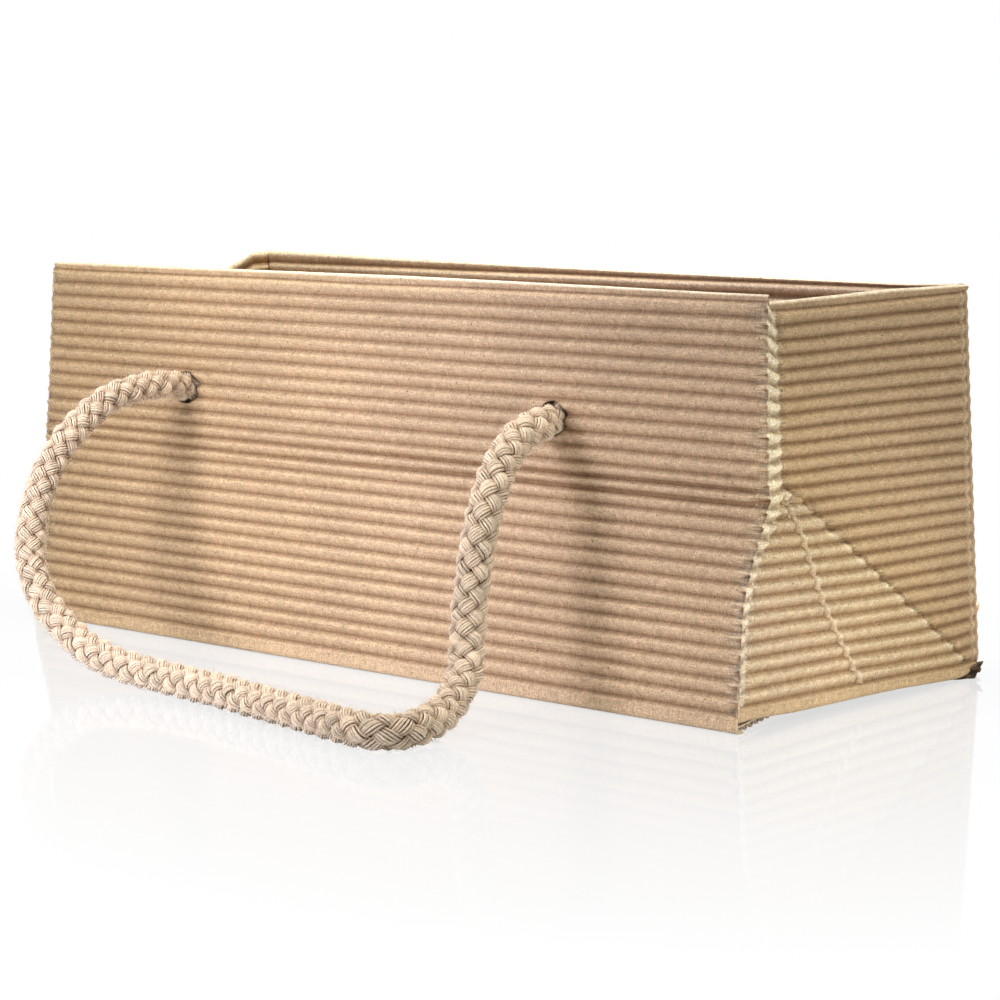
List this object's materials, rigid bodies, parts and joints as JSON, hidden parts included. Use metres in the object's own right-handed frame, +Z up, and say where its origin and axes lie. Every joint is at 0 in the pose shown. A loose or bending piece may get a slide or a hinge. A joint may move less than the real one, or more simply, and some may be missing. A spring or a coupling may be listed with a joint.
{
  "type": "jar gift bag",
  "caption": "Low open gift bag for a row of jars, folded from single-face corrugated kraft board with turned-in rims, cross-folded bottom flaps and knotted cotton cord handles.",
  "frame": {"origin": "on the floor under the middle of the bag", "axes": "+X along the long side to the right as seen from the front, +Y to the back, +Z up; the front wall faces -Y"},
  "size_m": [0.236, 0.2258, 0.092],
  "materials": {
    "kraft_board": "uncoated natural brown single-face corrugated board",
    "cotton_cord": "natural cream braided cotton"
  },
  "bodies": {
    "bag": {"front_panel": "kraft_board", "back_panel": "kraft_board", "left_side_panel": "kraft_board", "right_side_panel": "kraft_board", "front_hem": "kraft_board", "back_hem": "kraft_board", "left_hem": "kraft_board", "right_hem": "kraft_board", "front_bottom_flap": "kraft_board", "back_bottom_flap": "kraft_board", "left_bottom_flap": "kraft_board", "right_bottom_flap": "kraft_board", "glue_flap": "kraft_board", "front_cord_left_end": "cotton_cord", "front_cord_right_end": "cotton_cord", "back_cord_left_end": "cotton_cord", "back_cord_right_end": "cotton_cord", "front_cord_left_knot": "cotton_cord", "front_cord_right_knot": "cotton_cord", "back_cord_left_knot": "cotton_cord", "back_cord_right_knot": "cotton_cord"},
    "front_handle": {"front_handle_cord": "cotton_cord"},
    "back_handle": {"back_handle_cord": "cotton_cord"}
  },
  "joints": [
    {"name": "front_handle_swing", "type": "hinge", "parent": "bag", "child": "front_handle", "pos_m": [0.0586, -0.0505, 0.0608], "axis": [-0.9993, -0.0025, 0.0375], "range_deg": [0, 120]},
    {"name": "back_handle_swing", "type": "hinge", "parent": "bag", "child": "back_handle", "pos_m": [0.0586, 0.0505, 0.0608], "axis": [0.9993, -0.0025, -0.0375], "range_deg": [0, 120]}
  ]
}
